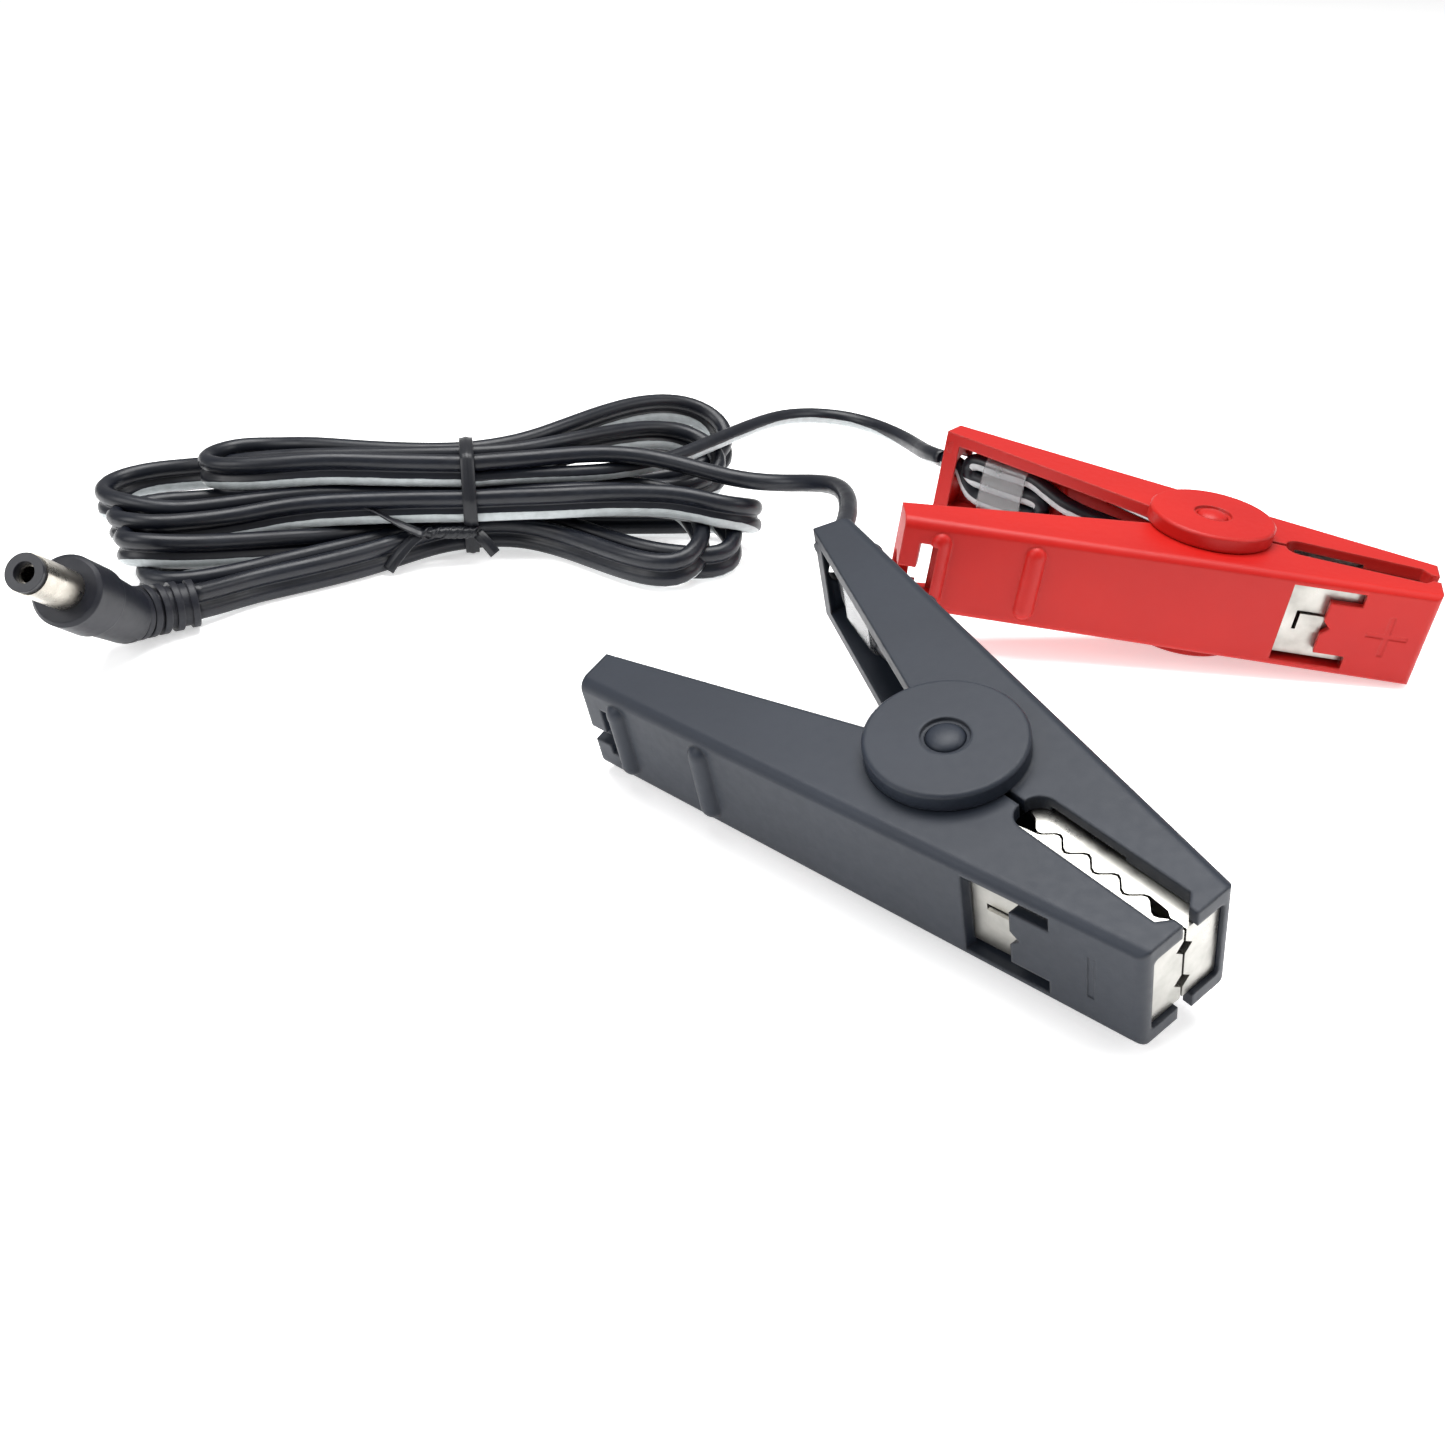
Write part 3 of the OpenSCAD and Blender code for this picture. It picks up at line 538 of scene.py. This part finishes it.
def wire_line():
    """The wire inside the cable arm: in at the hole, folded twice in the sleeve, on to the jaw."""
    gap, wy = 2.85, 18.65 - 1.6

    def at(x, z):
        return (x, wy - (x + 36) * 0.3, z)

    def fold(x, z, s):
        return [at(x + s * gap / 2 * math.cos(math.radians(a)), z + gap / 2 * math.sin(math.radians(a)))
                for a in range(-90, 91, 30)]
    return ([(-41, 18.85, 1.2), (-38, 18.15, 1.0), at(-36, -1.4), at(-34, -gap), at(-27, -gap)]
            + fold(-25, -gap / 2, 1) + [at(-30, 0)] + fold(-35, gap / 2, -1)
            + [at(-30, gap), at(-26, gap), (-20, 11.4, 1), (-12, 10, 0), (0, 8.2, -0.5),
               (5.6, 6.62, 0), (9.6, 6.62, 0)])


springs, wires = {}, {}
for name in CLIPS:
    springs[name] = smooth_tube(name + "_spring_wire", placed(name, spring_line()), SPRING_WIRE_R, k=12)
    w = placed(name, soften(spline(wire_line(), 0.7), 2))
    wires[name] = round_cord(name + "_inner_wire", w, WIRE_R, name == "red", k=18)


# ---------------------------------------------------------------- materials

def rgb(r, g, b):
    return (r, g, b, 1)


class Mat:
    """A material, with short ways to add nodes to it. The scales of noise are per metre."""

    def __init__(self, name):
        self.m = bpy.data.materials.new(name)
        self.m.use_nodes = True
        self.n = self.m.node_tree.nodes
        self.l = self.m.node_tree.links
        self.b = self.n["Principled BSDF"]
        self.co = self.n.new("ShaderNodeTexCoord").outputs["Object"]

    def noise(self, scale, detail=3, rough=0.55, vec=None):
        t = self.n.new("ShaderNodeTexNoise")
        t.inputs["Scale"].default_value = scale
        t.inputs["Detail"].default_value = detail
        t.inputs["Roughness"].default_value = rough
        self.l.new(vec or self.co, t.inputs["Vector"])
        return t.outputs["Fac"]

    def span(self, value, lo, hi, a, b):
        r = self.n.new("ShaderNodeMapRange")
        r.inputs["From Min"].default_value = lo
        r.inputs["From Max"].default_value = hi
        r.inputs["To Min"].default_value = a
        r.inputs["To Max"].default_value = b
        self.l.new(value, r.inputs["Value"])
        return r.outputs["Result"]

    def mix(self, fac, a, b):
        x = self.n.new("ShaderNodeMix")
        x.data_type = "RGBA"
        self.l.new(fac, x.inputs["Factor"])
        for v, s in ((a, x.inputs["A"]), (b, x.inputs["B"])):
            if isinstance(v, tuple):
                s.default_value = v
            else:
                self.l.new(v, s)
        return x.outputs["Result"]

    def math(self, op, a, b):
        x = self.n.new("ShaderNodeMath")
        x.operation = op
        for v, s in ((a, x.inputs[0]), (b, x.inputs[1])):
            if isinstance(v, (int, float)):
                s.default_value = v
            else:
                self.l.new(v, s)
        return x.outputs[0]

    def bump(self, height, strength, distance, normal=None):
        x = self.n.new("ShaderNodeBump")
        x.inputs["Strength"].default_value = strength
        x.inputs["Distance"].default_value = distance
        self.l.new(height, x.inputs["Height"])
        if normal is not None:
            self.l.new(normal, x.inputs["Normal"])
        return x.outputs["Normal"]

    def put(self, socket, value):
        if isinstance(value, (int, float, tuple)):
            self.b.inputs[socket].default_value = value
        else:
            self.l.new(value, self.b.inputs[socket])
        return self


def plastic(name, dark, light, rough, grain=0.000012, edge_highlight_and_scuff=None, fine=3800, edge=0.0005):
    """Moulded satin plastic: fine grain, slow colour drift, and soft edges painted slightly paler: a painted
    highlight along them, patched with noise like rubbed wear.
    """
    m = Mat(name)
    drift = m.span(m.noise(45, 3), 0.3, 0.7, 0, 1)
    col = m.mix(drift, dark, light)
    soft = m.n.new("ShaderNodeBevel")
    soft.samples = 6
    soft.inputs["Radius"].default_value = edge
    geo = m.n.new("ShaderNodeNewGeometry")
    dot = m.n.new("ShaderNodeVectorMath")
    dot.operation = "DOT_PRODUCT"
    m.l.new(soft.outputs["Normal"], dot.inputs[0])
    m.l.new(geo.outputs["Normal"], dot.inputs[1])
    # Paler edges: a painted highlight where the bevelled normal turns, mixed with noise patches like rubbed wear
    edges = m.span(dot.outputs["Value"], 0.98, 0.80, 0, 1)
    edge_highlight_and_rub = m.math("MULTIPLY", edges, m.span(m.noise(600, 4), 0.35, 0.65, 0.1, 0.45))
    m.put("Base Color", m.mix(edge_highlight_and_rub, col, edge_highlight_and_scuff or light))
    m.put("Roughness", m.span(m.noise(900, 4), 0.3, 0.7, rough - 0.03, rough + 0.04))
    m.put("Specular IOR Level", 0.32)
    m.put("Normal", m.bump(m.noise(fine, 2, 0.6), 0.3, grain, soft.outputs["Normal"]))
    return m.m


def metal(name, dark, light, rough, stretch=(900, 900, 90)):
    """Plated metal with a faint rolled grain and small stains."""
    m = Mat(name)
    mp = m.n.new("ShaderNodeMapping")
    mp.inputs["Scale"].default_value = stretch
    m.l.new(m.co, mp.inputs["Vector"])
    lines = m.noise(1.0, 3, vec=mp.outputs["Vector"])
    stain = m.span(m.noise(260, 5), 0.35, 0.7, 0, 1)
    m.put("Base Color", m.mix(stain, light, dark))
    m.put("Metallic", 1.0)
    m.put("Roughness", m.span(m.math("ADD", lines, stain), 0.4, 1.5, rough - 0.06, rough + 0.12))
    m.put("Normal", m.bump(lines, 0.18, 0.00004))
    return m.m


def cord_skin(name):
    """Extruded flex: satin black with faint scuffs and dents, and a printed pale stripe."""
    m = Mat(name)
    a = m.n.new("ShaderNodeAttribute")
    a.attribute_name = "stripe_a"
    wobble = m.span(m.noise(380, 3), 0.3, 0.7, -0.035, 0.035)
    mask = m.span(m.math("ADD", a.outputs["Fac"], wobble), 0.53, 0.57, 1, 0)
    drift = m.span(m.noise(150, 4), 0.3, 0.7, 0, 1)
    dark = m.mix(drift, rgb(0.003, 0.004, 0.008), rgb(0.006, 0.008, 0.014))
    wear = m.span(m.noise(700, 4), 0.35, 0.7, 0, 1)
    pale = m.mix(wear, rgb(0.50, 0.54, 0.55), rgb(0.40, 0.43, 0.44))
    m.put("Base Color", m.mix(mask, dark, pale))
    m.put("Roughness", m.span(m.noise(520, 4), 0.3, 0.7, 0.30, 0.44))
    m.put("Normal", m.bump(m.noise(2200, 2), 0.2, 0.00001, m.bump(m.noise(200, 2), 0.2, 0.00005)))
    m.put("Specular IOR Level", 0.4)
    return m.m


# The last colour of each is the paler edge tint: painted highlight mixed with rubbed wear
black_plastic = plastic("black_plastic", rgb(0.013, 0.017, 0.026), rgb(0.017, 0.022, 0.033), 0.46,
                        edge_highlight_and_scuff=rgb(0.07, 0.075, 0.085))
red_plastic = plastic("red_plastic", rgb(0.44, 0.006, 0.004), rgb(0.50, 0.009, 0.005), 0.42,
                      edge_highlight_and_scuff=rgb(0.62, 0.06, 0.04))
plug_plastic = plastic("plug_plastic", rgb(0.007, 0.008, 0.013), rgb(0.011, 0.012, 0.018), 0.42,
                       edge_highlight_and_scuff=rgb(0.05, 0.05, 0.06), edge=0.00035)
insulator_plastic = plastic("insulator_plastic", rgb(0.012, 0.013, 0.017), rgb(0.020, 0.021, 0.026), 0.3,
                            grain=0.000008, edge=0.0001)
tie_plastic = plastic("tie_plastic", rgb(0.008, 0.009, 0.012), rgb(0.014, 0.015, 0.019), 0.32, edge=0.00015)
nickel = metal("nickel_plate", rgb(0.34, 0.335, 0.31), rgb(0.46, 0.45, 0.42), 0.32)
plug_metal = metal("plug_metal", rgb(0.42, 0.39, 0.34), rgb(0.56, 0.53, 0.47), 0.24)
spring_steel = metal("spring_wire", rgb(0.30, 0.30, 0.31), rgb(0.48, 0.48, 0.49), 0.30, stretch=(500, 500, 500))
solder = metal("solder", rgb(0.46, 0.46, 0.47), rgb(0.66, 0.66, 0.67), 0.36, stretch=(600, 600, 600))
flex_skin = cord_skin("flex_pvc")


def clear_tube():
    m = Mat("clear_sleeve")
    haze = m.span(m.noise(300, 4), 0.3, 0.7, 0, 1)
    m.put("Base Color", m.mix(haze, rgb(0.86, 0.88, 0.9), rgb(0.95, 0.96, 0.97)))
    m.put("Roughness", m.span(m.noise(500, 3), 0.3, 0.7, 0.12, 0.28))
    m.put("Transmission Weight", 0.9)
    m.put("IOR", 1.45)
    m.put("Normal", m.bump(m.noise(400, 3), 0.2, 0.0001))
    return m.m


sleeve = clear_tube()


def paint(node, material):
    o = NODES[node]
    if not o.material_slots:
        o.data.materials.append(material)
    for s in o.material_slots:
        s.material = material


for name, body_mat in (("black", black_plastic), ("red", red_plastic)):
    paint(name + "_cable_arm", body_mat)
    paint(name + "_lever_arm", body_mat)
    paint(name + "_cable_jaw", nickel)
    paint(name + "_lever_jaw", nickel)
    paint(name + "_pivot_pin", body_mat)
    paint(name + "_wire_sleeve", sleeve)
    paint(name + "_solder_joint", solder)
paint("plug_body", plug_plastic)
paint("plug_barrel", plug_metal)
paint("plug_insulator", insulator_plastic)
paint("plug_contact", plug_metal)
paint("plug_terminals", plug_metal)


def finish_piece(o, material):
    o.data.materials.append(material)


for o in (flex_cord, black_cord, red_cord):
    finish_piece(o, flex_skin)
for o in wires.values():
    finish_piece(o, flex_skin)
for o in springs.values():
    finish_piece(o, spring_steel)
for o in tie_pieces:
    finish_piece(o, tie_plastic)


# ---------------------------------------------------------------- riding on the frame

for o in [flex_cord, black_cord, red_cord] + tie_pieces + list(wires.values()):
    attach(o, "lead")
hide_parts("flex_tail", "flex_hank")
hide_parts("black_lead")
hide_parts("red_lead")
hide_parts("twist_tie")
for name in CLIPS:
    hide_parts(name + "_wire_end")
    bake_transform(springs[name])
    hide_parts(name + "_torsion_spring")


# ---------------------------------------------------------------- floor and light

floor_mesh = bpy.data.meshes.new("floor")
floor_mesh.from_pydata([(-3, -3, 0), (3, -3, 0), (3, 3, 0), (-3, 3, 0)], [], [(0, 1, 2, 3)])
floor = bpy.data.objects.new("floor", floor_mesh)
floor.location.z = -0.00005
scene.collection.objects.link(floor)
paper = Mat("white_paper")
shade = paper.span(paper.noise(8, 2), 0.3, 0.7, 0, 1)
paper.put("Base Color", paper.mix(shade, rgb(0.93, 0.93, 0.93), rgb(0.95, 0.95, 0.95)))
paper.put("Roughness", 0.9)
paper.put("Emission Color", rgb(1, 1, 1))
paper.put("Emission Strength", 0.5)
floor_mesh.materials.append(paper.m)

world = bpy.data.worlds.new("world")
world.use_nodes = True
sky = world.node_tree.nodes["Background"]
sky.inputs["Color"].default_value = (1, 1, 1, 1)
sky.inputs["Strength"].default_value = 0.36
scene.world = world


def area(name, at, to, size, power, size_y):
    """Soft box at a place, facing another, with its two sides in metres."""
    d = bpy.data.lights.new(name, "AREA")
    d.energy = power
    d.size = size
    d.shape = "RECTANGLE"
    d.size_y = size_y
    o = bpy.data.objects.new(name, d)
    o.location = at
    o.rotation_euler = (Vector(to) - Vector(at)).to_track_quat("-Z", "Y").to_euler()
    scene.collection.objects.link(o)


area("top_box", (-0.05, 0.16, 0.9), (-0.03, 0.02, 0), 0.8, 12.5, 0.6)
area("left_box", (-0.7, -0.3, 0.5), (-0.05, 0.02, 0), 0.45, 2.4, 0.45)
area("right_box", (0.65, -0.15, 0.5), (0, 0.02, 0), 0.4, 1.6, 0.4)
scene.view_settings.view_transform = "Standard"
scene.view_settings.look = "None"
